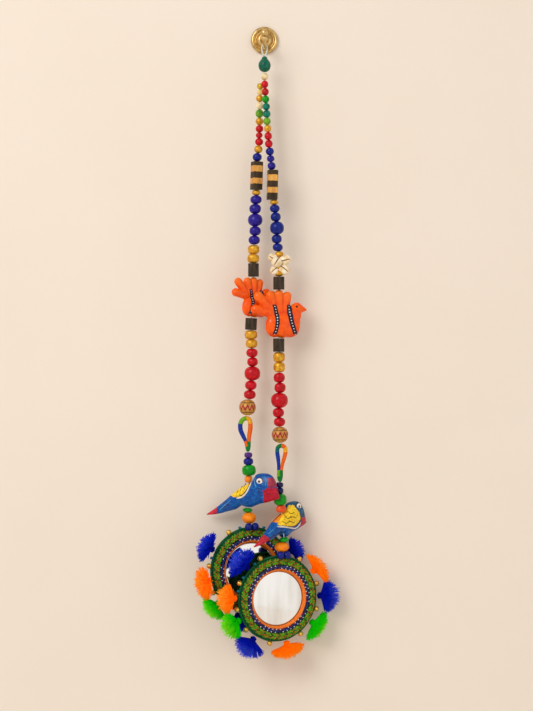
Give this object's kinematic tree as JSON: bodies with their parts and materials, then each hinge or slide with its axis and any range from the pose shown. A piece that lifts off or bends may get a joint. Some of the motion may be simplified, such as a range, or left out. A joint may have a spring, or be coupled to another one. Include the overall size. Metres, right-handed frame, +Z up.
{
  "type": "toran door hanging on a brass wall hook",
  "caption": "Two strands of painted beads, carved birds and parrots hang from a brass wall hook, each ending in a round tasselled mirror.",
  "frame": {"origin": "middle of the hook plate's back face, on the wall", "axes": "+Z up, +Y into the wall, +X to the right as seen from the room"},
  "size_m": [0.1534, 0.0704, 0.6871],
  "materials": {
    "brass": "polished, a little worn",
    "white_cord": "twisted cord",
    "green_wood": "painted, satin",
    "cream_wood": "painted, satin",
    "blue_yarn": "cut yarn",
    "orange_yarn": "cut yarn",
    "green_yarn": "cut yarn",
    "mirror": "silvered glass",
    "braid": "stitched braid",
    "seed_beads": "threaded seed beads",
    "edging_cord": "bound cord with small gold beads",
    "wrapped_thread": "wound thread",
    "shell": "natural shell",
    "orange_lacquer": "glossy paint",
    "parrot_paint": "painted by brush",
    "striped_wood": "striped, oiled",
    "dark_wood": "dark, satin",
    "painted_wood": "painted pattern",
    "amber_wood": "painted, satin",
    "blue_wood": "painted, glossy",
    "violet_wood": "painted, glossy",
    "red_wood": "painted, glossy",
    "gold_wood": "gold paint",
    "mixed_wood": "painted, satin, several colours"
  },
  "bodies": {
    "root": {"cream_bead": "cream_wood", "drop_bead": "green_wood", "hanging_loop": "white_cord", "left_bead_rope": "seed_beads", "left_bird": "orange_lacquer", "left_blue_pair": "blue_wood", "left_box_bead": "striped_wood", "left_cord_loop": "wrapped_thread", "left_edging": "edging_cord", "left_gold_lower": "gold_wood", "left_gold_upper": "gold_wood", "left_hex_lower": "dark_wood", "left_hex_upper": "dark_wood", "left_mirror_frame": "braid", "left_mirror_glass": "mirror", "left_neck_beads": "green_wood", "left_orange_bead": "amber_wood", "left_painted_bead": "painted_wood", "left_parrot": "parrot_paint", "left_red_beads": "red_wood", "left_small_beads": "mixed_wood", "left_tassel_blue_left": "blue_yarn", "left_tassel_blue_low": "blue_yarn", "left_tassel_blue_right": "blue_yarn", "left_tassel_green_left": "green_yarn", "left_tassel_green_right": "green_yarn", "left_tassel_orange_high": "orange_yarn", "left_tassel_orange_left": "orange_yarn", "left_tassel_orange_low": "orange_yarn", "left_violet_beads": "violet_wood", "right_bead_rope": "seed_beads", "right_bird": "orange_lacquer", "right_blue_beads": "blue_wood", "right_blue_pair": "blue_wood", "right_box_bead": "striped_wood", "right_cord_loop": "wrapped_thread", "right_cowries": "shell", "right_edging": "edging_cord", "right_gold_lower": "gold_wood", "right_hex_lower": "dark_wood", "right_hex_upper": "dark_wood", "right_mirror_frame": "braid", "right_mirror_glass": "mirror", "right_neck_beads": "green_wood", "right_orange_bead": "amber_wood", "right_painted_bead": "painted_wood", "right_parrot": "parrot_paint", "right_red_beads": "red_wood", "right_small_beads": "mixed_wood", "right_tassel_blue_left": "blue_yarn", "right_tassel_blue_low": "blue_yarn", "right_tassel_blue_right": "blue_yarn", "right_tassel_green_left": "green_yarn", "right_tassel_green_right": "green_yarn", "right_tassel_orange_left": "orange_yarn", "right_tassel_orange_low": "orange_yarn", "right_tassel_orange_right": "orange_yarn", "wall_hook": "brass", "wall_plate": "brass"}
  },
  "joints": []
}
